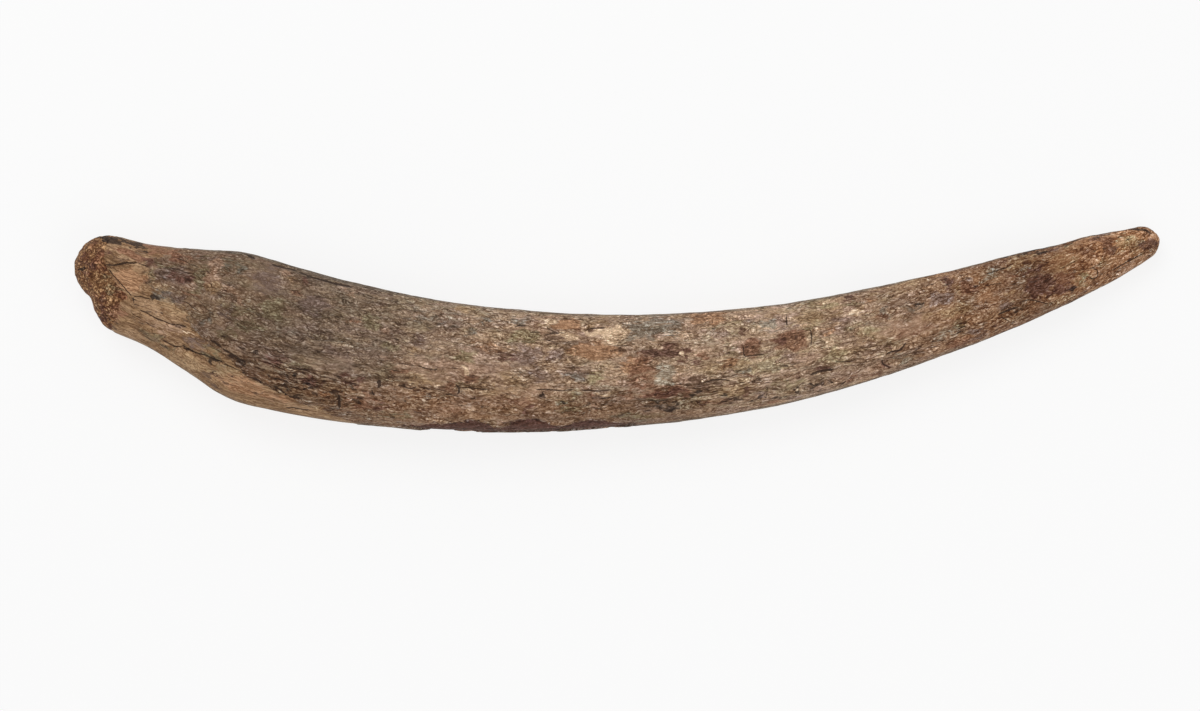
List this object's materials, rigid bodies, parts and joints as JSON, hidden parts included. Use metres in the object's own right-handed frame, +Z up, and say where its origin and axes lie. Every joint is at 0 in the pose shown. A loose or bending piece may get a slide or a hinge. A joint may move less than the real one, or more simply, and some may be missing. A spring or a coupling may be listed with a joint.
{
  "type": "fossil walrus tusk",
  "caption": "Long fossil walrus tusk lying on its side: a gentle bend, a worn knob of spongy core at the root, a cracked and flaking outer layer and a blunt tip.",
  "frame": {"origin": "under the middle of the tusk's box, on the surface that it rests on", "axes": "+X from the root end to the tip, +Y towards the inside of the bend, +Z up from the surface that it lies on"},
  "size_m": [0.604, 0.116, 0.0556],
  "materials": {
    "fossil_ivory": "dry, weathered and matte"
  },
  "bodies": {
    "root": {"tusk": "fossil_ivory"}
  },
  "joints": []
}
